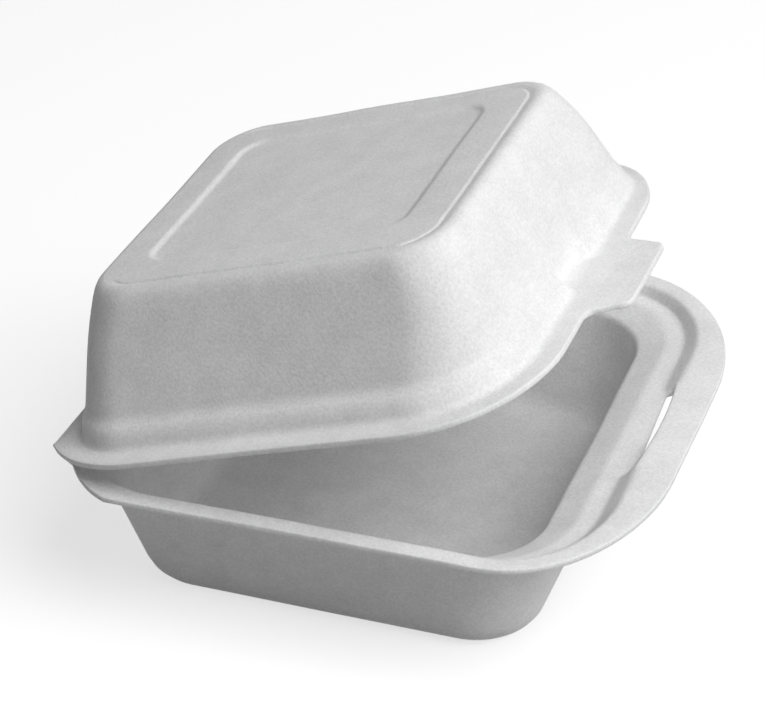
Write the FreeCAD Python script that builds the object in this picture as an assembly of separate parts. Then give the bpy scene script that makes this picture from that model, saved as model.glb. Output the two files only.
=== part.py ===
import FreeCAD
import Part
import math
import os

# Foam clamshell container: a tray and a lid moulded from one sheet of expanded
# polystyrene foam and joined along the back by a fold pressed thin in the sheet.
# Millimetres. X runs along the fold, -Y is the latch side, +Z is up, and the tray
# stands on z = 0. The lid is drawn shut and then turned to its resting angle.

V = FreeCAD.Vector

# The foam sheet
wall = 2.2
rim_edge = 1.7
shelf_skin = 1.3
lid_shelf_skin = 1.8
fold_web = 0.5
fold_press = 3.0

# The tray: half sizes where its walls would meet the table, and how far they
# lean out for each millimetre of height
tray_height = 42.0
tray_foot_side = 56.4
tray_foot_front = 59.5
tray_foot_back = 54.0
tray_foot_corner = 17.6
tray_lean_side = 0.248
tray_lean_front = 0.137
tray_lean_back = 0.274
tray_lean_corner = 0.176
tray_bottom_round = 8.0
round_steps = 3

# The steps round the tray's mouth, measured on the inside
nest_height = 34.4
nest_grow = 1.0
nest_grow_front = 2.8
nest_corner = 24.5
nest_corner_y = 22.0
ledge_height = 38.0
ledge_side_in = 66.0
ledge_side_out = 68.3
ledge_front_in = 71.0
ledge_front_out = 76.0
ledge_back_in = 64.4
ledge_back_out = 65.6
ledge_corner_in = 25.0
ledge_corner_in_y = 21.0
ledge_corner_out = 28.0
ledge_corner_out_y = 23.0
ledge_heel_in = 26.0
ledge_heel_out = 27.0
mouth_side = 70.0
mouth_front = 80.6
mouth_back = 67.0
mouth_corner = 34.0
mouth_corner_y = 28.0
mouth_heel = 30.0

# The tray's flange and the fold
flange_side = 75.0
flange_front = 91.0
flange_corner_x = 52.0
flange_corner_y = 39.2
fold_reach = 72.0
fold_half = 57.8
heel_start = 49.0
heel_bow_x = 70.3
heel_bow_y = 57.0
heel_end_x = 62.5
heel_end_y = 64.2

# The lid, measured from the underside of its flange
lid_height = 39.5
lid_flange_side = 73.3
lid_flange_front = 72.8
lid_flange_corner = 36.6
lid_flange_heel = 39.3
lid_riser_side = 66.8
lid_riser_front = 66.1
lid_riser_back = 65.2
lid_riser_corner = 29.0
lid_riser_heel = 24.0
lid_riser_lean = 1.4
lid_riser_top = 6.2
lid_wall_foot = 8.0
lid_wall_side = 61.6
lid_wall_front = 62.4
lid_wall_back = 60.6
lid_wall_corner = 24.0
lid_wall_heel = 19.5
lid_crown_side = 49.6
lid_crown_front = 55.2
lid_crown_back = 51.4
lid_crown_corner = 17.0
lid_crown_heel = 15.0
lid_crown_round = 4.0

# The sunk panel and the crease in the top of the lid
panel_side = 34.6
panel_front = 36.5
panel_back = 39.5
panel_corner = 8.0
panel_depth = 1.0
panel_slope = 1.3
crease_side = 45.0
crease_front = 50.6
crease_back = 46.8
crease_corner = 10.0
crease_width = 1.0
crease_depth = 0.4

# The lock tab and its slot
tab_root = 21.3
tab_neck = 18.3
tab_tip = 16.4
tab_neck_reach = 75.7
tab_reach = 84.0
tab_drop = 1.2
tab_corner = 2.5
tab_flare = 0.9
tab_overlap = 1.0
notch_half = 8.5
notch_level = 4.4
notch_depth = 2.4
notch_top = 9.0
notch_skin = 1.5
slot_clearance = 1.0
slot_outer = 80.3
slot_bow = 0.7
slot_margin = 0.4

# How far a shape that cuts runs past the face it cuts, and a small slack
over = 1.0
slack = 0.4

# How far the lid stands open at rest
rest_angle = 17.2

slot_half = tab_neck + slot_clearance
slot_gap = rim_edge + 0.3
rim_top = tray_height


def quarter(cx, cy, rx, ry, start, z):
    # a quarter of a circle or of an ellipse, drawn anticlockwise
    if abs(rx - ry) < 1e-6:
        def at(turn):
            a = math.radians(start + turn)
            return V(cx + rx * math.cos(a), cy + ry * math.sin(a), z)
        return Part.Arc(at(0), at(45), at(90)).toShape()
    oval = Part.Ellipse(V(cx, cy, z), rx, ry)
    return Part.ArcOfEllipse(oval, math.radians(start), math.radians(start + 90)).toShape()


def ring(z, side, front, back, front_x, front_y, heel):
    # a closed loop with rounded corners, wider corners allowed at the front
    corners = [
        quarter(side - heel, back - heel, heel, heel, 0, z),
        quarter(heel - side, back - heel, heel, heel, 90, z),
        quarter(front_x - side, front_y - front, front_x, front_y, 180, z),
        quarter(side - front_x, front_y - front, front_x, front_y, 270, z),
    ]
    edges = []
    for place, corner in enumerate(corners):
        after = corners[(place + 1) % 4]
        edges.append(corner)
        edges.append(Part.makeLine(corner.lastVertex(True).Point, after.firstVertex(True).Point))
    return edges


def body(levels):
    # a solid that runs through the loops, one above the other
    return Part.makeLoft([Part.Wire(ring(*level)) for level in levels], True, True)


def inset(level, by, lift=0.0):
    z, side, front, back, front_x, front_y, heel = level
    return (z + lift, side - by, front - by, back - by, front_x - by, front_y - by, heel - by)


def slab(edges, z, height):
    # a flat plate with the outline given by its edges
    face = Part.Face(Part.Wire(Part.__sortEdges__(edges)))
    face.translate(V(0, 0, z - face.BoundBox.ZMin))
    return face.extrude(V(0, 0, height))


def bar(points, half):
    # a prism along the fold, with its section given as (y, z) points
    corners = [V(-half, y, z) for y, z in points]
    face = Part.Face(Part.makePolygon(corners + corners[:1]))
    return face.extrude(V(2 * half, 0, 0))


def bow(start, middle, end):
    return Part.Arc(V(*start, 0), V(*middle, 0), V(*end, 0)).toShape()


def line(start, end):
    return Part.makeLine(V(*start, 0), V(*end, 0))


def between(low, high, z):
    # the loop at a height on the straight run from one loop to another
    share = (z - low[0]) / (high[0] - low[0])
    return tuple(a + (b - a) * share for a, b in zip(low, high))


def rounded(wall_at, edge, towards, radius):
    # the loops round the edge of a floor or a crown, from the flat out to the wall
    loops = []
    for step in range(round_steps + 1):
        turn = math.radians(90 * step / round_steps)
        z = edge + towards * radius * (1 - math.cos(turn))
        loops.append(inset(wall_at(z), radius * (1 - math.sin(turn))))
    return loops


def tray_wall(z):
    # the outside of the tray's wall at a height
    corner = tray_foot_corner + tray_lean_corner * z
    side = tray_foot_side + tray_lean_side * z
    front = tray_foot_front + tray_lean_front * z
    back = tray_foot_back + tray_lean_back * z
    return (z, side, front, back, corner, corner, corner)


def tray_hollow(z):
    return inset(tray_wall(z), wall)


def tray_steps():
    # nest step, ledge and mouth on the inside of the rim, from the bottom up
    z, side, front, back = tray_hollow(nest_height)[:4]
    nest_size = (side + nest_grow, front + nest_grow_front, back + nest_grow)
    ledge_in_size = (ledge_side_in, ledge_front_in, ledge_back_in)
    ledge_out_size = (ledge_side_out, ledge_front_out, ledge_back_out)
    mouth_size = (mouth_side, mouth_front, mouth_back)
    return [
        (z,) + nest_size + (nest_corner, nest_corner_y, nest_corner),
        (ledge_height,) + ledge_in_size + (ledge_corner_in, ledge_corner_in_y, ledge_heel_in),
        (ledge_height,) + ledge_out_size + (ledge_corner_out, ledge_corner_out_y, ledge_heel_out),
        (rim_top,) + mouth_size + (mouth_corner, mouth_corner_y, mouth_heel),
    ]


def tray_flange():
    front_line = flange_side - flange_corner_x
    side_line = flange_front - flange_corner_y
    half = [
        line((flange_side, -side_line), (flange_side, heel_start)),
        bow((flange_side, heel_start), (heel_bow_x, heel_bow_y), (heel_end_x, heel_end_y)),
        line((heel_end_x, heel_end_y), (fold_half, fold_reach)),
        quarter(front_line, -side_line, flange_corner_x, flange_corner_y, 270, 0),
    ]
    other = [e.mirror(V(0, 0, 0), V(1, 0, 0)) for e in half]
    ends = [
        line((fold_half, fold_reach), (-fold_half, fold_reach)),
        line((-front_line, -flange_front), (front_line, -flange_front)),
    ]
    return slab(half + other + ends, rim_top - rim_edge, rim_edge)


def slot():
    # the cut behind the front flange that takes the lock tab, widest in the middle
    bowed = slot_bow - slot_outer
    outer = bow((slot_half, bowed), (0, -slot_outer), (-slot_half, bowed))

    def reach_in(y):
        return [
            outer,
            line((-slot_half, bowed), (-slot_half, -y)),
            line((-slot_half, -y), (slot_half, -y)),
            line((slot_half, -y), (slot_half, bowed)),
        ]

    bottom = nest_height - over
    through = slab(reach_in(slot_outer - slot_gap), bottom, rim_top + over - bottom)
    clear = slab(reach_in(ledge_front_out - slot_margin), ledge_height, rim_top + over - ledge_height)
    return through.fuse(clear)


def fold_relief(z, upwards):
    # the wedge taken off the flange where the sheet is pressed thin for the fold
    thick = rim_edge if upwards else -rim_edge
    thin = fold_web if upwards else -fold_web
    start = fold_reach - fold_press
    end = fold_reach + over
    return bar([(start, z + thick), (end, z + thick), (end, z + thin), (fold_reach, z + thin)], flange_side)


def make_tray():
    steps = tray_steps()
    out_steps = [inset(step, -shelf_skin, -rim_edge) for step in steps[1:]]
    waist = (tray_bottom_round + nest_height) / 2
    outside = rounded(tray_wall, 0, 1, tray_bottom_round)
    outside += [tray_wall(waist), tray_wall(nest_height - rim_edge)] + out_steps
    inside = rounded(tray_hollow, wall, 1, tray_bottom_round - wall)
    inside += [tray_hollow(waist), tray_hollow(nest_height)] + steps + [inset(steps[-1], 0, over)]
    tray = body(outside).fuse(tray_flange()).cut(body(inside))
    tray = tray.cut(slot()).cut(fold_relief(rim_top, False))
    return tray.removeSplitter()


def lid_riser():
    # the upright step round the lid's foot, from the underside of the flange up
    corners = (lid_riser_corner, lid_riser_corner, lid_riser_heel)
    foot = (0.0, lid_riser_side, lid_riser_front, lid_riser_back) + corners
    return [foot, inset(foot, lid_riser_lean, lid_riser_top)]


def lid_wall(z):
    # the outside of the lid's wall at a height
    corners = (lid_wall_corner, lid_wall_corner, lid_wall_heel)
    foot = (lid_wall_foot, lid_wall_side, lid_wall_front, lid_wall_back) + corners
    corners = (lid_crown_corner, lid_crown_corner, lid_crown_heel)
    crown = (lid_height, lid_crown_side, lid_crown_front, lid_crown_back) + corners
    return between(foot, crown, z)


def lid_hollow(z):
    # the inside of the wall, where the foot's shelf is a little thinner than the wall
    foot = inset(lid_wall(lid_wall_foot), wall, -lid_shelf_skin)
    crown = inset(lid_wall(lid_height), wall, -wall)
    return between(foot, crown, z)


def lid_flange():
    flat = lid_flange_side - lid_flange_heel
    over = fold_half - flat
    heel_y = fold_reach - math.sqrt(lid_flange_heel ** 2 - over ** 2)
    turn = math.atan2(fold_reach - heel_y, over) / 2
    bend = (flat + lid_flange_heel * math.cos(turn), heel_y + lid_flange_heel * math.sin(turn))
    side_line = lid_flange_front - lid_flange_corner
    front_line = lid_flange_side - lid_flange_corner
    half = [
        line((lid_flange_side, -side_line), (lid_flange_side, heel_y)),
        bow((lid_flange_side, heel_y), bend, (fold_half, fold_reach)),
        quarter(front_line, -side_line, lid_flange_corner, lid_flange_corner, 270, 0),
    ]
    other = [e.mirror(V(0, 0, 0), V(1, 0, 0)) for e in half]
    ends = [
        line((fold_half, fold_reach), (-fold_half, fold_reach)),
        line((-front_line, -lid_flange_front), (front_line, -lid_flange_front)),
    ]
    return slab(half + other + ends, 0, rim_edge)


def lock_tab():
    # a tongue that flares into the flange and slopes gently down to its rounded tip
    root_y = lid_flange_front - tab_overlap
    bend = ((tab_root + tab_neck) / 2 - tab_flare, -(lid_flange_front + tab_neck_reach) / 2)
    half = [
        line((tab_root, -root_y), (tab_root, -lid_flange_front)),
        bow((tab_root, -lid_flange_front), bend, (tab_neck, -tab_neck_reach)),
        line((tab_neck, -tab_neck_reach), (tab_tip, tab_corner - tab_reach)),
        quarter(tab_tip - tab_corner, tab_corner - tab_reach, tab_corner, tab_corner, 270, 0),
    ]
    other = [e.mirror(V(0, 0, 0), V(1, 0, 0)) for e in half]
    ends = [
        line((tab_root, -root_y), (-tab_root, -root_y)),
        line((tab_corner - tab_tip, -tab_reach), (tab_tip - tab_corner, -tab_reach)),
    ]
    outline = slab(half + other + ends, -tab_drop - over, rim_edge + tab_drop + 2 * over)
    tip_y = -tab_reach - over
    under = [(tab_overlap - root_y, 0), (-lid_flange_front, 0), (tip_y, -tab_drop)]
    top = [(y, z + rim_edge) for y, z in reversed(under)]
    return outline.common(bar(under + top, tab_root + over))


def sunk_panel():
    # the shallow panel in the top, cut from above
    field = (panel_side, panel_front, panel_back, panel_corner, panel_corner, panel_corner)
    top = (lid_height,) + field
    return body([inset(top, 0, over), top, inset(top, panel_slope, -panel_depth)])


def panel_field():
    # the same panel as it stands proud on the inside of the lid
    field = (panel_side, panel_front, panel_back, panel_corner, panel_corner, panel_corner)
    top = (lid_height,) + field
    return body([inset(top, -slack, -wall - panel_depth), inset(top, -wall)])


def crease():
    # the fine line round the top of the lid, a groove between two loops
    loop = (crease_side, crease_front, crease_back, crease_corner, crease_corner, crease_corner)
    top = (lid_height,) + loop
    half = crease_width / 2
    outer = [inset(top, -half, -crease_depth), inset(top, -half, over)]
    inner = [inset(top, half, -crease_depth), inset(top, half, over)]
    return body(outer).cut(body(inner))


def notch():
    # the notch in the shoulder behind the tab: its ramp, its cut, and the hollow under it
    foot = -lid_flange_front
    back = notch_depth - lid_wall_front
    ramp = bar([(back, 0), (foot, 0), (foot, rim_edge), (back, notch_level)], notch_half)
    cut = bar([(back, notch_level), (foot, rim_edge), (foot, notch_top), (back, notch_top)], notch_half)
    in_back = back + wall
    points = [(in_back, notch_level - wall), (foot, -slack), (foot, notch_top), (in_back, notch_top)]
    return ramp, cut, bar(points, notch_half + notch_skin)


def make_lid():
    riser = lid_riser()
    waist = (lid_wall_foot + lid_height) / 2
    crown = rounded(lid_wall, lid_height, -1, lid_crown_round)[::-1]
    outside = body(riser + [lid_wall(lid_wall_foot), lid_wall(waist)] + crown)
    inner_top = lid_height - wall
    inner_foot = lid_wall_foot - lid_shelf_skin
    crown = rounded(lid_hollow, inner_top, -1, lid_crown_round - wall / 2)[::-1]
    hollow = [inset(riser[0], wall, -over), inset(riser[1], wall, -lid_shelf_skin)]
    inside = body(hollow + [lid_hollow(inner_foot), lid_hollow(waist)] + crown)
    ramp, cut, under = notch()
    outside = outside.fuse(lid_flange()).fuse(ramp).cut(cut)
    inside = inside.cut(panel_field()).cut(under)
    lid = outside.cut(inside).cut(sunk_panel()).cut(crease()).fuse(lock_tab())
    lid = lid.cut(fold_relief(0, True)).removeSplitter()
    lid.translate(V(0, 0, rim_top))
    lid.rotate(V(0, fold_reach, rim_top), V(1, 0, 0), -rest_angle)
    return lid


os.makedirs("parts", exist_ok=True)
pieces = {"tray": make_tray(), "lid": make_lid()}
for name, shape in pieces.items():
    shape.exportStep("parts/" + name + ".step")
    print(name, "solids", len(shape.Solids), "valid", shape.isValid(), "volume", round(shape.Volume, 1))
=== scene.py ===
import math

import bmesh
import bpy
import numpy as np
from mathutils import Matrix, Vector, noise


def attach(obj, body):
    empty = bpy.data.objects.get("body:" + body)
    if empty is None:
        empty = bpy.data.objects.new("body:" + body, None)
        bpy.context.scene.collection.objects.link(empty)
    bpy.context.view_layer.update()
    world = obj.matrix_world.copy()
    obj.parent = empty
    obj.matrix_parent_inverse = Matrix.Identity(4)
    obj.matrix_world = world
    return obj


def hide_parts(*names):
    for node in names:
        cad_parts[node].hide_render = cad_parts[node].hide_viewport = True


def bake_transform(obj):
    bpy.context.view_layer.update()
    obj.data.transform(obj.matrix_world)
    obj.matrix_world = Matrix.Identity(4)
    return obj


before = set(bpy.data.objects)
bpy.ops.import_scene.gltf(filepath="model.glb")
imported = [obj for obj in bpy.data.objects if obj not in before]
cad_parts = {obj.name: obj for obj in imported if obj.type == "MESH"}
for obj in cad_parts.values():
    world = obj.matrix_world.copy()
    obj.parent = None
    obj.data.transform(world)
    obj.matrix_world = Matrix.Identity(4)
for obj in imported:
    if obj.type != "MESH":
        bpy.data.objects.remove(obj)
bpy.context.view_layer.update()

MM = 0.001
TINY = 1e-6

# Foam clamshell container: a tray and a lid formed from one sheet of polystyrene
# foam. The sizes are the part's own, in millimetres, and a level of a wall is
# (height, side, front, back, front corner along x, front corner along y, heel).

# The foam's thickness in the walls and in the flanges, how far the underside of a
# step stands off its top, the pressed fold's thickness and the width of its relief
WALL = 2.2
RIM = 1.7
SHELF = 1.3
LID_SHELF = 1.8
WEB = 0.5
PRESS = 3.0

# The tray's foot as side, front, back and corner, and how each leans out with height
TRAY_FOOT = (56.4, 59.5, 54.0, 17.6)
TRAY_LEAN = (0.248, 0.137, 0.274, 0.176)

# The tray's stepped rim, from the nesting step up to the mouth
TRAY_TOP = 42.0
NEST_TOP = 33.8
NEST_DROP = 0.6
NEST = (35.0, 63.9, 64.8, 62.4, 24.5, 22.0, 24.5)
LEDGE_IN = (37.7, 65.8, 70.6, 64.3, 25.0, 21.0, 26.0)
LEDGE_OUT = (38.2, 68.2, 75.9, 65.6, 28.0, 23.0, 27.0)
MOUTH = (42.0, 70.0, 80.6, 67.0, 34.0, 28.0, 30.0)

# The tray's flange as side, front and corner along x and y, and the bow of its heel
TRAY_FLANGE = (75.0, 91.0, 52.0, 39.2)
TRAY_HEEL = ((75.0, 49.0), (70.3, 57.0), (62.5, 64.2))

# The fold's line, half its length, and how far its web keeps from the ends and the
# axis. The flanges' edges stop short of the axis by a share of their thickness.
FOLD_Y = 72.0
FOLD_HALF = 57.8
FOLD_END_GAP = 0.3
FOLD_SEAT = 0.05
FOLD_SHORT = 0.1
REST_OPEN = 17.2

# The lid's flange as side, front, corner and heel, and its steps up to the crown
LID_FLANGE = (73.3, 72.8, 36.6, 39.3)
RISER = (0.0, 66.8, 66.1, 65.8, 29.0, 29.0, 21.5)
RISER_LEAN = 1.4
RISER_TOP = 5.9
LID_FOOT = (8.3, 61.6, 62.4, 62.5, 24.0, 24.0, 16.0)
LID_MIDDLE = 10.4
LID_WAIST = (27.0, 54.4, 59.4, 56.4, 15.0, 15.5, 14.0)
LID_CROWN = (39.5, 49.6, 55.5, 51.4, 15.0, 15.5, 15.0)

# How much tighter the lid's far front corner is drawn, up from the riser
FAR_RISER = 7.5
FAR_WALL = 11.0
FAR_WALL_FALL = 0.4
FAR_WAIST = 4.0
FAR_CROWN = 2.0

# The crease round the crown: its depth, and the reach of its gentle outer slope and
# of its steep inner side. It runs out towards the fold and is shallower at the front,
# each from a distance off the middle and over a length.
CREASE = (39.5, 45.0, 50.6, 46.8, 10.0, 10.0, 10.0)
CREASE_DEPTH = 1.0
CREASE_SLOPE = 1.6
CREASE_STEEP = 0.25
CREASE_FADE = (36, 8)
CREASE_FRONT = (38, 10)
CREASE_FRONT_RISE = 0.7
CREASE_FRONT_SHIFT = 0.6

# The sunk panel, and how much wider its underside is at the rim and in the field
PANEL = (39.5, 36.0, 38.9, 39.5, 8.0, 8.0, 8.0)
PANEL_SHIFT = 1.8
PANEL_DEPTH = 0.85
PANEL_SLOPE = 1.5
PANEL_UNDER = (2.2, 0.4)

# The lock tab: half widths at its root, neck and tip, its reach, the corners on its
# two sides, the sweep of its root, and how far it dips for each millimetre outwards
TAB_ROOT = 21.3
TAB_NECK = 18.3
TAB_TIP = 16.4
TAB_NECK_Y = 75.7
TAB_REACH = 84.0
TAB_CORNERS = (4.2, 2.5)
TAB_SWEEP = (1.5, 0.2)
TAB_FALL = 1.2 / 12.2

# The finger notch behind the tab: (y, z) of its rows, up from the flange
NOTCH_HALF = 8.5
NOTCH_EASE = 1.4
NOTCH_TOP = 12.4
NOTCH_OUTSIDE = ((-66.1, 2.4), (-64.0, 2.9), (-62.2, 4.0), (-61.9, 8.0), (-61.8, NOTCH_TOP))
NOTCH_INSIDE = ((-65.6, 0.4), (-62.4, 0.9), (-59.6, 2.0), (-59.5, NOTCH_TOP))

# The tab's slot: its outer edge bows, and its gap narrows away from its widest place
SLOT_HALF = 19.3
SLOT_OUTER = 80.9
SLOT_BOW = 1.0
SLOT_GAP = 2.95
SLOT_LEAST = 0.8
SLOT_WIDEST = 8
SLOT_SPREAD = 18
SLOT_NARROWS = 0.4
SLOT_EASE = 3.2
SLOT_SKIN = 0.9
SLOT_STEP = 0.05
SLOT_LIP = (0.55, 0.25)
SLOT_ROWS = (0.3, 0.5)

# How far the rounding of each row reaches along the profile. On the tray the rows
# run from the floor to the flange inside, and from the flange to the floor outside.
# On the lid both run from the flange up to the panel.
FLAT_ROWS = (0, 0, 0)
TRAY_INSIDE_ROUNDS = FLAT_ROWS + (5.2, 1.4, 1.0, 1.4, 1.4, 0, 0, 1.7)
TRAY_OUTSIDE_ROUNDS = (0, 1.0, 0, 0, 1.2, 1.2, 0.8, 0.8, 6.6) + FLAT_ROWS
LID_OUTSIDE_ROUNDS = (0, 1.6, 2.2, 2.2, 0, 0, 8.0, (4.6, 2.5), 0.3, 0.1, 0.2, 0.9, 0.9) + FLAT_ROWS
LID_INSIDE_ROUNDS = (0.8, 1.0, 1.2, 0, 8.0, 2.6, 0.8, 0.8) + FLAT_ROWS

# The share of the way to the next row that a rounding may take, for one that is
# the same on both sides and for one that is given as a pair
ROUND_LIMIT = 0.48
PAIR_LIMIT = 0.96

# The die-cut edge of the sheet, from its top to its underside: how far in from
# the outline and how far down, as shares of the thickness
EDGE_SHAPE = (
    (0.24, 0.0), (0.13, 0.02), (0.05, 0.08), (0.0, 0.2), (-0.01, 0.5),
    (0.0, 0.8), (0.05, 0.92), (0.13, 0.98), (0.24, 1.0),
)

# Where the relief's row lies between edge and shoulder, away from the fold
RELIEF_PLACE = 0.35

# The sheet's waves: their height and length, where they start, the draw of the noise
# that every run takes, and where they die out towards the fold and the table
WAVE_SIZE = 0.35
WAVE_LENGTH = 34
WAVE_START = 3.1
WAVE_DRAW = 7
WAVE_FOLD = 25
WAVE_FOOT = 20
WAVE_LEAST = 0.15

# How finely each run of a loop is divided
FRONT_STEPS = 4
CORNER_STEPS = 22
SIDE_STEPS = 30
HEEL_STEPS = 21
BACK_STEPS = 18
CURVE_STEPS = 5
TAB_SIDE_STEPS = 4
ROUND_STEPS = 4
FOLD_RINGS = 47
FOLD_STEPS = 10
RINGS = (0.1, 0.3, 0.55, 0.8)
TRAY_COLUMNS = [0, 2.4, 4.8, 7.2, 9.6, 12.0, 14.4, 16.8, SLOT_HALF, 19.9, 20.5, 21.1, 21.7, 22.3]
LID_COLUMNS = [0, 2.1, 4.2, 5.8, 7.1, 7.6, 8.1, 8.6, 9.1, 9.5, 9.9, 11.4, 14, 16.6, 19.2, TAB_ROOT, 23.0]

# The foam's grain in metres and how much of it shows, the colours it runs between
# and the part of the noise that it spreads over them
CELL_SIZE = 0.0008
DRIFT_SIZE = 0.009
CELL_SHARE = 0.65
FOAM_COLOURS = ("#e6e6e6", "#f8f8f8")
FOAM_RANGE = (0.36, 0.64)

# The table's colour, its own light to the camera, its size and how far it lies
# below the tray, in metres, and the dim light from all round
TABLE_COLOUR = "#b4b4b4"
TABLE_GLOW = 0.68
TABLE_HALF = 4.0
TABLE_DROP = 0.0002
SKY_LIGHT = 0.07

# The studio lamps: name, place and aim in metres, width, and power in watts
LAMPS = (
    ("key_light", (-0.24, -0.78, 1.30), (0, 0, 0.05), 1.2, 16.8),
    ("front_light", (-0.18, -1.24, 0.86), (0, 0, 0.04), 0.8, 4.6),
)

# The camera fitted to the outline in the photo: its turn, height and roll in
# degrees, its place along its own axes in metres, and its lens as the focal length
# over the picture's width
CAMERA_TURN = -67.505
CAMERA_HEIGHT = 32.318
CAMERA_ROLL = -3.198
CAMERA_PLACE = (-0.000982, 0.042354, 0.7139)
SENSOR = 36.0
LENS_WIDTHS = 2477.5 / 765


class Sheet:
    """The points and faces of one formed piece of foam sheet, in millimetres."""

    def __init__(self):
        self.points = []
        self.faces = []

    def add(self, points):
        first = len(self.points)
        self.points.extend(tuple(p) for p in points)
        return list(range(first, len(self.points)))

    def band(self, a, b, closed=True, skip=()):
        count = len(a) if closed else len(a) - 1
        for i in range(count):
            if i not in skip:
                j = (i + 1) % len(a)
                self.faces.append((a[i], a[j], b[j], b[i]))

    def cover(self, rows, skip_rows=(), skip=()):
        for r in range(len(rows) - 1):
            self.band(rows[r], rows[r + 1], skip=skip if r in skip_rows else ())


def mix(a, b, share):
    return a * (1 - share) + b * share


def ease(share):
    # a share from 0 to 1 that starts and ends softly
    share = min(1.0, max(0.0, share))
    return share * share * (3 - 2 * share)


def bow(start, control, end, t):
    # a point of the curve from start to end that leans towards control
    return start * (1 - t) ** 2 + control * 2 * t * (1 - t) + end * t * t


def both_sides(half):
    # the half loop with x above zero, and its mirror image after it
    other = [(-x, y) for x, y in half[-2:0:-1]]
    return half + other


def front_columns(count, last):
    # where the columns across the front stand in a loop, from left to right
    return [k % count for k in range(-last, last + 1)]


def spread(a, b, steps):
    # steps points on the straight run after a, the last of them on b
    run = []
    for k in range(1, steps + 1):
        run.append((a[0] + (b[0] - a[0]) * k / steps, a[1] + (b[1] - a[1]) * k / steps))
    return run


def front_run(columns, reach, end_x):
    run = [(x, -reach) for x in columns]
    return run + spread(run[-1], (end_x, -reach), FRONT_STEPS)


def corner_run(cx, cy, rx, ry, start, turn, steps):
    run = []
    for k in range(1, steps + 1):
        a = math.radians(start + turn * k / steps)
        run.append((cx + rx * math.cos(a), cy + ry * math.sin(a)))
    return run


def loop(level, columns):
    # the closed loop of a level, from the middle of the front round to the right
    z, side, front, back, rx, ry, heel = level
    half = front_run(columns, front, side - rx)
    half += corner_run(side - rx, ry - front, rx, ry, -90, 90, CORNER_STEPS)
    half += spread((side, ry - front), (side, back - heel), SIDE_STEPS)
    half += corner_run(side - heel, back - heel, heel, heel, 0, 90, HEEL_STEPS)
    half += spread((side - heel, back), (0, back), BACK_STEPS)
    return np.array([(x, y, z) for x, y in both_sides(half)])


def inset(level, by, lift=0.0):
    z, side, front, back, rx, ry, heel = level
    return (z + lift, side - by, front - by, back - by, rx - by, ry - by, heel - by)


def far_corner(level, columns, tighter):
    # the lid's loop, drawn tighter at the front corner on the right-hand side
    z, side, front, back, rx, ry, heel = level
    plain = loop(level, columns)
    tight = loop((z, side, front, back, rx - tighter, ry - tighter, heel), columns)
    return np.where(tight[:, :1] > TINY, tight, plain)


def between(low, high, z):
    share = (z - low[0]) / (high[0] - low[0])
    return tuple(a + (b - a) * share for a, b in zip(low, high))


def shrunk(level, shares, columns):
    # rings that close in on the middle of a flat floor or panel
    whole = loop(level, columns)
    middle = np.array([0.0, (level[3] - level[2]) / 2, level[0]])
    return [middle + (whole - middle) * share for share in shares]


def soften(rows, rounds):
    # rounds the profile at each row; a reach of 0 keeps the row as it is, and a
    # pair gives the reach before and after the row, up to the rows beside it
    out = [rows[0]]
    for row, before, after, reach in zip(rows[1:-1], rows, rows[2:], rounds):
        if not reach:
            out.append(row)
            continue
        pair = isinstance(reach, tuple)
        limit = PAIR_LIMIT if pair else ROUND_LIMIT
        ends = []
        for beside, size in zip((before, after), reach if pair else (reach, reach)):
            way = beside - row
            length = np.linalg.norm(way, axis=1)[:, None]
            ends.append(row + way * np.minimum(limit, size / np.maximum(length, TINY)))
        for step in range(ROUND_STEPS + 1):
            out.append(bow(ends[0], row, ends[1], step / ROUND_STEPS))
    out.append(rows[-1])
    return out


def outward(path):
    # the direction out of a closed outline at each of its points
    after = np.roll(path, -1, axis=0) - path
    before = path - np.roll(path, 1, axis=0)
    after /= np.maximum(np.linalg.norm(after, axis=1)[:, None], TINY)
    before /= np.maximum(np.linalg.norm(before, axis=1)[:, None], TINY)
    way = after + before
    way /= np.linalg.norm(way, axis=1)[:, None]
    return np.stack([way[:, 1], -way[:, 0]], axis=1)


def edge_rows(path, top, bottom, fold):
    # the fold's edge stops just short of the axis, so that the halves clear each other
    out = outward(path)
    short = np.where(fold, FOLD_SHORT, 0.0)[:, None]
    thick = top - bottom
    rows = []
    for inward, down in EDGE_SHAPE:
        at = path - out * (inward + short) * thick[:, None]
        rows.append(np.column_stack([at, top - thick * down]))
    return rows


def wobble(points):
    # the slight unevenness of sheet that was formed hot, the same on both faces
    shift = []
    for x, y, z in points:
        way = noise.noise_vector(Vector((x / WAVE_LENGTH + WAVE_START, y / WAVE_LENGTH, z / WAVE_LENGTH)))
        off_fold = min(1.0, max(0.0, (FOLD_Y - y) / WAVE_FOLD))
        off_table = min(1.0, max(WAVE_LEAST, z / WAVE_FOOT))
        size = WAVE_SIZE * off_fold * off_table
        shift.append((x + way.x * size, y + way.y * size, z + way.z * size))
    return shift


def finish_piece(name, sheet, turn=None):
    mesh = bpy.data.meshes.new(name)
    mesh.from_pydata([(x * MM, y * MM, z * MM) for x, y, z in sheet.points], [], sheet.faces)
    work = bmesh.new()
    work.from_mesh(mesh)
    bmesh.ops.recalc_face_normals(work, faces=work.faces)
    if turn is not None:
        bmesh.ops.transform(work, matrix=turn, verts=work.verts)
    work.to_mesh(mesh)
    work.free()
    mesh.shade_smooth()
    piece = bpy.data.objects.new(name, mesh)
    bpy.context.scene.collection.objects.link(piece)
    return piece


def tray_wall(z):
    side, front, back, corner = (foot + lean * z for foot, lean in zip(TRAY_FOOT, TRAY_LEAN))
    return (z, side, front, back, corner, corner, corner)


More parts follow.
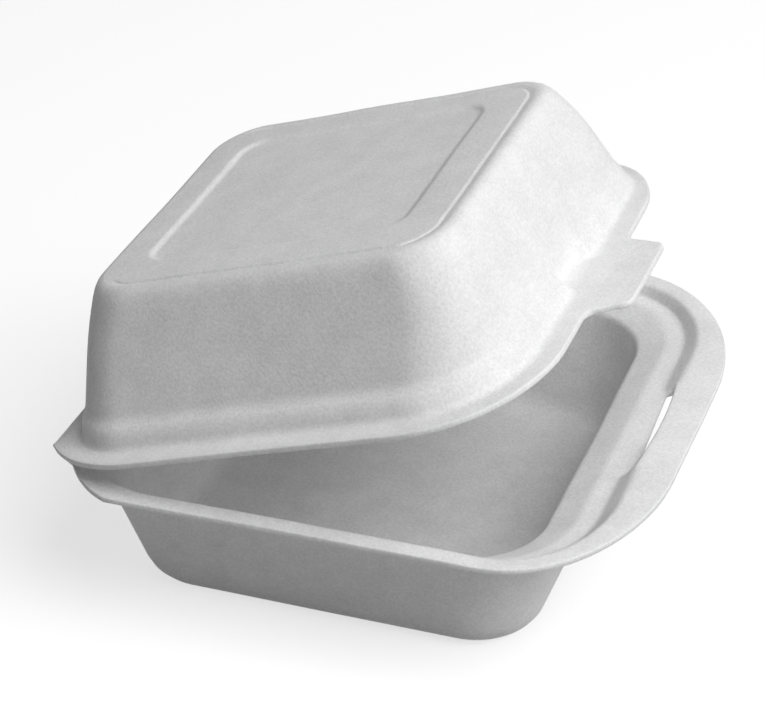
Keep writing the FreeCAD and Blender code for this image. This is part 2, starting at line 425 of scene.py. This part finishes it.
def tray_outline(columns):
    side, front, rx, ry = TRAY_FLANGE
    half = front_run(columns, front, side - rx)
    half += corner_run(side - rx, ry - front, rx, ry, -90, 90, CORNER_STEPS)
    half += spread((side, ry - front), TRAY_HEEL[0], SIDE_STEPS)
    start, middle, end = (np.array(p) for p in TRAY_HEEL)
    control = 2 * middle - (start + end) / 2
    on_line = HEEL_STEPS // 3
    on_bow = HEEL_STEPS - on_line
    half += [tuple(bow(start, control, end, k / on_bow)) for k in range(1, on_bow + 1)]
    half += spread(tuple(end), (FOLD_HALF, FOLD_Y), on_line)
    half += spread((FOLD_HALF, FOLD_Y), (0, FOLD_Y), BACK_STEPS)
    return np.array(both_sides(half))


def lid_outline(columns):
    side, front, corner, heel = LID_FLANGE
    half = front_run(columns, front, side - corner)
    half += corner_run(side - corner, corner - front, corner, corner, -90, 90, CORNER_STEPS)
    flat = side - heel
    rise = math.sqrt(heel ** 2 - (FOLD_HALF - flat) ** 2)
    heel_y = FOLD_Y - rise
    half += spread((side, corner - front), (side, heel_y), SIDE_STEPS)
    turn = math.degrees(math.atan2(rise, FOLD_HALF - flat))
    half += corner_run(flat, heel_y, heel, heel, 0, turn, HEEL_STEPS)
    half += spread((FOLD_HALF, FOLD_Y), (0, FOLD_Y), BACK_STEPS)
    return np.array(both_sides(half))


def on_fold(path):
    return np.abs(path[:, 1] - FOLD_Y) < TINY


def relief_row(edge, shoulder, fold):
    # the row where the pressed wedge starts along the fold, and a plain row elsewhere
    row = mix(edge, shoulder, RELIEF_PLACE)
    row[fold, 1] = FOLD_Y - PRESS
    row[:, 2] = shoulder[:, 2]
    return row


def cut_slot(ledge, mouth, inside):
    # the two edges of the slot: on the slope outside its columns, and on the
    # cut within them, where the slope is taken down level with the ledge
    inner, outer = (mix(ledge, mouth, share) for share in SLOT_ROWS)
    lip = mouth.copy()
    for k in front_columns(len(ledge), len(TRAY_COLUMNS) - 1):
        x = ledge[k, 0]
        # the cut fades into the plain slope past the two ends of the slot
        share = ease((SLOT_HALF + SLOT_EASE - abs(x)) / SLOT_EASE)
        far = SLOT_OUTER - SLOT_BOW * (x / SLOT_HALF) ** 2
        # the gap is widest to the right of the middle and narrows to both sides
        narrower = SLOT_NARROWS * ((x - SLOT_WIDEST) / SLOT_SPREAD) ** 2
        near = far - max(SLOT_LEAST, SLOT_GAP * (1 - narrower))
        if inside:
            cut = [
                (x, -near, ledge[k, 2] + SLOT_STEP),
                (x, -far, mouth[k, 2] - SLOT_LIP[1]),
                (x, -far - SLOT_LIP[0], mouth[k, 2]),
            ]
        else:
            down = (far + ledge[k, 1]) / (ledge[k, 1] - mouth[k, 1])
            cut = [(x, -near, ledge[k, 2] + RIM - SLOT_SKIN), mix(ledge[k], mouth[k], down), lip[k]]
        for row, place in zip((inner, outer, lip), cut):
            row[k] = mix(row[k], np.array(place), share)
    return inner, outer, lip


def make_tray():
    columns = TRAY_COLUMNS
    sheet = Sheet()
    path = tray_outline(columns)
    fold = on_fold(path)
    top = np.full(len(path), TRAY_TOP)
    bottom = np.where(fold, TRAY_TOP - WEB, TRAY_TOP - RIM)
    edge = edge_rows(path, top, bottom, fold)

    steps = [NEST, LEDGE_IN, LEDGE_OUT, MOUTH]
    inside = [loop(level, columns) for level in steps]
    slot_in, slot_out, mouth = cut_slot(inside[2], inside[3], True)
    floor = inset(tray_wall(WALL), WALL)
    rows = shrunk(floor, RINGS, columns)
    rows += [loop(floor, columns), loop(inset(tray_wall(NEST_TOP), WALL), columns)]
    rows += [inside[0], inside[1], inside[2], slot_in, slot_out, mouth, edge[0]]
    inner = soften(rows, TRAY_INSIDE_ROUNDS)
    slot_at = next(k for k, row in enumerate(inner) if row is slot_in)

    under = [loop(inset(level, -SHELF, -RIM), columns) for level in steps]
    out_slot_in, out_slot_out, _ = cut_slot(under[2], under[3], False)
    rows = [edge[-1], relief_row(edge[-1], under[3], fold), under[3], out_slot_out, out_slot_in]
    rows += [under[2], under[1], under[0], loop(tray_wall(NEST_TOP - RIM - NEST_DROP), columns)]
    foot = tray_wall(0)
    rows += [loop(foot, columns)] + shrunk(foot, RINGS[::-1], columns)
    outer = soften(rows, TRAY_OUTSIDE_ROUNDS)
    out_slot_at = next(k for k, row in enumerate(outer) if row is out_slot_out)

    cells = front_columns(len(path), columns.index(SLOT_HALF))
    hole = set(cells[:-1])
    inner_ids = [sheet.add(row) for row in inner]
    edge_ids = [sheet.add(row) for row in edge[1:-1]]
    outer_ids = [sheet.add(row) for row in outer]
    sheet.cover(inner_ids, skip_rows={slot_at}, skip=hole)
    sheet.cover([inner_ids[-1]] + edge_ids + [outer_ids[0]])
    sheet.cover(outer_ids, skip_rows={out_slot_at}, skip=hole)

    # the slot's own four walls, through the sheet
    near_in = [inner_ids[slot_at][k] for k in cells]
    far_in = [inner_ids[slot_at + 1][k] for k in cells]
    near_out = [outer_ids[out_slot_at + 1][k] for k in cells]
    far_out = [outer_ids[out_slot_at][k] for k in cells]
    sheet.band(near_in, near_out, closed=False)
    sheet.band(far_in, far_out, closed=False)
    for end in (0, -1):
        sheet.faces.append((near_in[end], far_in[end], far_out[end], near_out[end]))
    sheet.faces.append(tuple(inner_ids[0]))
    sheet.faces.append(tuple(outer_ids[-1]))
    sheet.points = wobble(sheet.points)
    return finish_piece("tray_shell", sheet)


def tab_sides(corner):
    # half widths of the lock tab and their y, from its root to its tip
    start = np.array((TAB_ROOT, LID_FLANGE[1]))
    end = np.array((TAB_NECK, TAB_NECK_Y))
    control = (start + end) / 2 - np.array(TAB_SWEEP)
    run = [bow(start, control, end, k / CURVE_STEPS) for k in range(CURVE_STEPS + 1)]
    shoulder = np.array((TAB_TIP, TAB_REACH - corner))
    run += [end + (shoulder - end) * k / TAB_SIDE_STEPS for k in range(1, TAB_SIDE_STEPS + 1)]
    for k in range(1, CURVE_STEPS + 1):
        a = math.radians(90 * k / CURVE_STEPS)
        run.append(shoulder + corner * np.array((math.cos(a) - 1, math.sin(a))))
    return [(w, -y) for w, y in run]


def tab_face(sheet, ids, across, flange, side_rows):
    # one face of the tab, a grid that closes on the cut edge; returns its root row
    grid = []
    for r in range(side_rows):
        left = ids[flange + r - 1]
        right = ids[-r % len(ids)]
        a = np.array(sheet.points[left])
        b = np.array(sheet.points[right])
        points = [a + (b - a) * (x + TAB_ROOT) / (2 * TAB_ROOT) for x in across]
        grid.append([left] + sheet.add(points) + [right])
    grid.append(ids[flange + side_rows - 1:len(ids) - side_rows + 1])
    for r in range(len(grid) - 1):
        sheet.band(grid[r], grid[r + 1], closed=False)
    return grid[0]


def flange_row(ids, tab_root, count, root):
    # the flange's edge as a loop of columns, with the tab's root across the front
    row = [None] * count
    for k, corner in zip(front_columns(count, root), tab_root):
        row[k] = corner
    row[root:count - root + 1] = ids[:count - 2 * root + 1]
    return row


def cut_notch(rows, profile):
    # rows of the lid's shoulder within the notch: (y, z) for each row there,
    # eased into the plain shoulder at the notch's two sides
    for k in front_columns(len(rows[0]), len(LID_COLUMNS) - 1):
        for row, (y, z) in zip(rows, profile):
            x = row[k, 0]
            share = ease((NOTCH_HALF + NOTCH_EASE - abs(x)) / (2 * NOTCH_EASE))
            row[k] = mix(row[k], np.array((x, y, z)), share)


def lid_wall(low, high, z):
    # a loop of the lid's wall between two levels, its far corner less tight higher up
    tighter = FAR_WALL - FAR_WALL_FALL * (z - LID_FOOT[0])
    return far_corner(between(low, high, z), LID_COLUMNS, tighter)


def crease_rows():
    # the crease has a steep inner side and a gentle slope up to the crown
    sides = ((-CREASE_SLOPE, 0), (0, -CREASE_DEPTH), (CREASE_STEEP, 0))
    outer, deepest, inner = (loop(inset(CREASE, by, lift), LID_COLUMNS) for by, lift in sides)
    y = deepest[:, 1]
    fade = np.clip((y - CREASE_FADE[0]) / CREASE_FADE[1], 0, 1)
    front = np.clip((-y - CREASE_FRONT[0]) / CREASE_FRONT[1], 0, 1)
    deepest[:, 2] += CREASE_DEPTH * (fade + CREASE_FRONT_RISE * front)
    inner[:, 1] += CREASE_FRONT_SHIFT * front
    return [outer, deepest, inner]


def panel_rows(rim, field):
    # the lid's sunk panel, from its rim to its middle; it sits a little to the right
    rows = [loop(rim, LID_COLUMNS), loop(field, LID_COLUMNS)]
    rows += shrunk(field, RINGS[::-1], LID_COLUMNS)
    for row in rows:
        row[:, 0] += PANEL_SHIFT
    return rows


def lid_outside(edge, fold):
    # the rows of the lid's outer face, from the flange's edge to the panel's middle
    levels = [inset(RISER, 0, RIM), inset(RISER, RISER_LEAN, RISER_TOP)]
    riser = [far_corner(level, LID_COLUMNS, FAR_RISER) for level in levels]
    wall = [lid_wall(LID_FOOT, LID_WAIST, z) for z in (LID_FOOT[0], LID_MIDDLE, NOTCH_TOP)]
    cut_notch(riser + wall, NOTCH_OUTSIDE)
    rows = [edge, relief_row(edge, riser[0], fold)] + riser + wall
    rows.append(far_corner(LID_WAIST, LID_COLUMNS, FAR_WAIST))
    rows.append(far_corner(LID_CROWN, LID_COLUMNS, FAR_CROWN))
    rows += crease_rows() + panel_rows(PANEL, inset(PANEL, PANEL_SLOPE, -PANEL_DEPTH))
    return soften(rows, LID_OUTSIDE_ROUNDS)


def lid_inside(edge):
    # the rows of the lid's inner face, in the same order
    levels = [inset(RISER, WALL), inset(RISER, WALL + RISER_LEAN, RISER_TOP - LID_SHELF)]
    riser = [far_corner(level, LID_COLUMNS, FAR_RISER) for level in levels]
    foot = inset(LID_FOOT, WALL, -LID_SHELF)
    waist = inset(LID_WAIST, WALL)
    wall = [lid_wall(foot, waist, z) for z in (foot[0], NOTCH_TOP)]
    cut_notch(riser + wall, NOTCH_INSIDE)
    rows = [edge] + riser + wall
    rows.append(far_corner(waist, LID_COLUMNS, FAR_WAIST))
    rows.append(far_corner(inset(LID_CROWN, WALL, -WALL), LID_COLUMNS, FAR_CROWN))
    wide_rim, wide_field = PANEL_UNDER
    rows += panel_rows(inset(PANEL, -wide_rim, -WALL), inset(PANEL, -wide_field, -WALL - PANEL_DEPTH))
    return soften(rows, LID_INSIDE_ROUNDS)


def make_lid():
    # the lid is drawn on its flange, raised to the tray's rim and turned open
    sheet = Sheet()
    path = lid_outline(LID_COLUMNS)
    count = len(path)
    root = LID_COLUMNS.index(TAB_ROOT)
    left_side, right_side = (tab_sides(corner) for corner in TAB_CORNERS)

    # the whole cut edge runs round the flange and out round the tab
    across = [-x for x in LID_COLUMNS[root - 1:0:-1]] + LID_COLUMNS[:root]
    flange = [tuple(p) for p in path[root:count - root + 1]]
    left = [(-w, y) for w, y in left_side[1:]]
    right = right_side[:0:-1]
    tip_x = np.interp(across, (-TAB_ROOT, TAB_ROOT), (left[-1][0], right[0][0]))
    tip = [(x, -TAB_REACH) for x in tip_x]
    whole = np.array(flange + left + tip + right)
    fall = np.maximum(0.0, -LID_FLANGE[1] - whole[:, 1]) * TAB_FALL
    fold = on_fold(whole)
    edge = edge_rows(whole, np.where(fold, WEB, RIM - fall), -fall, fold)
    edge_ids = [sheet.add(row) for row in edge]
    sheet.cover(edge_ids)

    rims = []
    for ids in (edge_ids[0], edge_ids[-1]):
        tab_root = tab_face(sheet, ids, across, len(flange), len(left))
        rims.append(flange_row(ids, tab_root, count, root))
    top_row, under_row = (np.array([sheet.points[k] for k in rim]) for rim in rims)
    faces = (lid_outside(top_row, on_fold(path)), lid_inside(under_row))
    for rim, rows in zip(rims, faces):
        row_ids = [rim] + [sheet.add(row) for row in rows[1:]]
        sheet.cover(row_ids)
        sheet.faces.append(tuple(row_ids[-1]))

    sheet.points = wobble([(x, y, z + TRAY_TOP) for x, y, z in sheet.points])
    axis = Vector((0, FOLD_Y * MM, TRAY_TOP * MM))
    turn = Matrix.Rotation(math.radians(-REST_OPEN), 4, "X")
    return finish_piece("lid_shell", sheet, Matrix.Translation(axis) @ turn @ Matrix.Translation(-axis))


def make_fold():
    # the pressed web that joins tray and lid, a thin bead round the fold's axis
    sheet = Sheet()
    rings = []
    end = FOLD_HALF - FOLD_END_GAP
    for x in np.linspace(-end, end, FOLD_RINGS):
        ring = [(x, FOLD_Y - FOLD_SEAT, TRAY_TOP)]
        for k in range(FOLD_STEPS + 1):
            a = math.radians(-90 + (180 - REST_OPEN) * k / FOLD_STEPS)
            ring.append((x, FOLD_Y + WEB * math.cos(a), TRAY_TOP + WEB * math.sin(a)))
        rings.append(sheet.add(ring))
    sheet.cover(rings)
    sheet.faces.append(tuple(rings[0]))
    sheet.faces.append(tuple(rings[-1]))
    return finish_piece("fold_web", sheet)


def linear(code):
    # an sRGB hex colour as the linear values that the shaders take
    parts = [int(code[k:k + 2], 16) / 255 for k in (1, 3, 5)]
    return tuple(c / 12.92 if c <= 0.04045 else ((c + 0.055) / 1.055) ** 2.4 for c in parts) + (1.0,)


def bare_tree(owner):
    owner.use_nodes = True
    owner.node_tree.nodes.clear()
    return owner.node_tree


def node(tree, kind, settings=None, **links):
    # adds a node, sets its properties and inputs, and links what is given by name
    made = tree.nodes.new(kind)
    for name, value in (settings or {}).items():
        if name in made.inputs.keys():
            made.inputs[name].default_value = value
        else:
            setattr(made, name, value)
    for name, source in links.items():
        tree.links.new(source, made.inputs[name.replace("_", " ")])
    return made


def foam_material():
    # Extruded polystyrene foam sheet, vacuum formed: matte, milky white, with a
    # skin of fine closed cells that gives a faint grain, and a little light that
    # sinks in and softens the shadows.
    material = bpy.data.materials.new("vacuum_formed_polystyrene_foam")
    tree = bare_tree(material)
    place = node(tree, "ShaderNodeTexCoord").outputs["Object"]
    # cells are about 0.4 mm across, drawn at 0.8 mm so that they show
    cells = node(tree, "ShaderNodeTexNoise", {
        "Scale": 1 / CELL_SIZE,
        "Detail": 2.0,
        "Roughness": 0.6,
    }, Vector=place)
    # the sheet's density drifts over about 9 mm as it is drawn
    drift = node(tree, "ShaderNodeTexNoise", {
        "noise_dimensions": "4D",
        "Scale": 1 / DRIFT_SIZE,
        "Detail": 2.0,
    }, Vector=place)
    both = node(tree, "ShaderNodeMix", {"data_type": "FLOAT"})
    both.inputs[0].default_value = CELL_SHARE
    tree.links.new(drift.outputs["Fac"], both.inputs[2])
    tree.links.new(cells.outputs["Fac"], both.inputs[3])
    tint = node(tree, "ShaderNodeValToRGB", Fac=both.outputs[0])
    for k in (0, 1):
        tint.color_ramp.elements[k].position = FOAM_RANGE[k]
        tint.color_ramp.elements[k].color = linear(FOAM_COLOURS[k])
    bump = node(tree, "ShaderNodeBump", {"Strength": 0.5, "Distance": 0.0002}, Height=cells.outputs["Fac"])
    shader = node(tree, "ShaderNodeBsdfPrincipled", {
        "Roughness": 0.62,
        "IOR": 1.45,
        "Subsurface Weight": 0.15,
        "Subsurface Radius": (0.003, 0.003, 0.003),
        "Subsurface Scale": 1.0,
    }, Base_Color=tint.outputs["Color"], Normal=bump.outputs["Normal"])
    node(tree, "ShaderNodeOutputMaterial", Surface=shader.outputs["BSDF"])
    return material


def looked_at(tree):
    # 1 for what the camera or a gloss sees, and 0 for the light that falls on things
    path = node(tree, "ShaderNodeLightPath")
    either = node(tree, "ShaderNodeMath", {"operation": "MAXIMUM"})
    tree.links.new(path.outputs["Is Camera Ray"], either.inputs[0])
    tree.links.new(path.outputs["Is Glossy Ray"], either.inputs[1])
    return either.outputs[0]


def table_material():
    # a plain white studio table: it is seen white, and sends a little light back
    material = bpy.data.materials.new("white_table")
    tree = bare_tree(material)
    glow = node(tree, "ShaderNodeMath", {"operation": "MULTIPLY"})
    tree.links.new(looked_at(tree), glow.inputs[0])
    glow.inputs[1].default_value = TABLE_GLOW
    shader = node(tree, "ShaderNodeBsdfPrincipled", {
        "Base Color": linear(TABLE_COLOUR),
        "Roughness": 0.9,
        "Emission Color": (1, 1, 1, 1),
    }, Emission_Strength=glow.outputs[0])
    node(tree, "ShaderNodeOutputMaterial", Surface=shader.outputs["BSDF"])
    return material


def make_table():
    mesh = bpy.data.meshes.new("table_top")
    half = TABLE_HALF
    corners = [(-half, -half, 0), (half, -half, 0), (half, half, 0), (-half, half, 0)]
    mesh.from_pydata(corners, [], [(0, 1, 2, 3)])
    table = bpy.data.objects.new("table_top", mesh)
    table.location.z = -TABLE_DROP
    table.data.materials.append(table_material())
    bpy.context.scene.collection.objects.link(table)


def make_world():
    # a white backdrop for the camera, and a dim even light for everything else
    world = bpy.data.worlds.new("studio")
    bpy.context.scene.world = world
    tree = bare_tree(world)
    strength = node(tree, "ShaderNodeMix", {"data_type": "FLOAT"})
    tree.links.new(looked_at(tree), strength.inputs[0])
    strength.inputs[2].default_value = SKY_LIGHT
    strength.inputs[3].default_value = 1.0
    light = node(tree, "ShaderNodeBackground", {"Color": (1, 1, 1, 1)}, Strength=strength.outputs[0])
    node(tree, "ShaderNodeOutputWorld", Surface=light.outputs["Background"])


def make_lamp(name, at, aim, size, power):
    light = bpy.data.lights.new(name, "AREA")
    light.shape = "DISK"
    light.size = size
    light.energy = power
    piece = bpy.data.objects.new(name, light)
    piece.location = at
    piece.rotation_euler = (Vector(aim) - Vector(at)).to_track_quat("-Z", "Y").to_euler()
    bpy.context.scene.collection.objects.link(piece)


def make_camera():
    turn, height, roll = (math.radians(a) for a in (CAMERA_TURN, CAMERA_HEIGHT, CAMERA_ROLL))
    back = Vector((math.sin(turn) * math.cos(height), -math.cos(turn) * math.cos(height), math.sin(height)))
    right = Vector((0, 0, 1)).cross(back).normalized()
    up = back.cross(right)
    across = right * math.cos(roll) + up * math.sin(roll)
    upward = up * math.cos(roll) - right * math.sin(roll)
    at = across * CAMERA_PLACE[0] + upward * CAMERA_PLACE[1] + back * CAMERA_PLACE[2]
    eye = bpy.data.cameras.new("camera")
    eye.sensor_fit = "HORIZONTAL"
    eye.sensor_width = SENSOR
    eye.lens = SENSOR * LENS_WIDTHS
    eye.clip_start = 0.05
    eye.clip_end = 20.0
    camera = bpy.data.objects.new("camera", eye)
    facing = Matrix((across, upward, back)).transposed().to_4x4()
    camera.matrix_world = Matrix.Translation(at) @ facing
    bpy.context.scene.collection.objects.link(camera)
    bpy.context.scene.camera = camera


make_camera()
make_world()
make_table()
for lamp in LAMPS:
    make_lamp(*lamp)

noise.seed_set(WAVE_DRAW)
tray = make_tray()
lid = make_lid()
fold = make_fold()
white_foam = foam_material()
for piece, body, slot in ((tray, "tray", "foam_tray"), (lid, "lid", "foam_lid")):
    piece.data.materials.append(white_foam)
    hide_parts(body)
    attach(piece, body)

# the web's two ends: under the tray's flange, and on the open lid's top face
fold.data.materials.append(white_foam)
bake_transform(fold)

bpy.context.scene.view_settings.view_transform = "Standard"
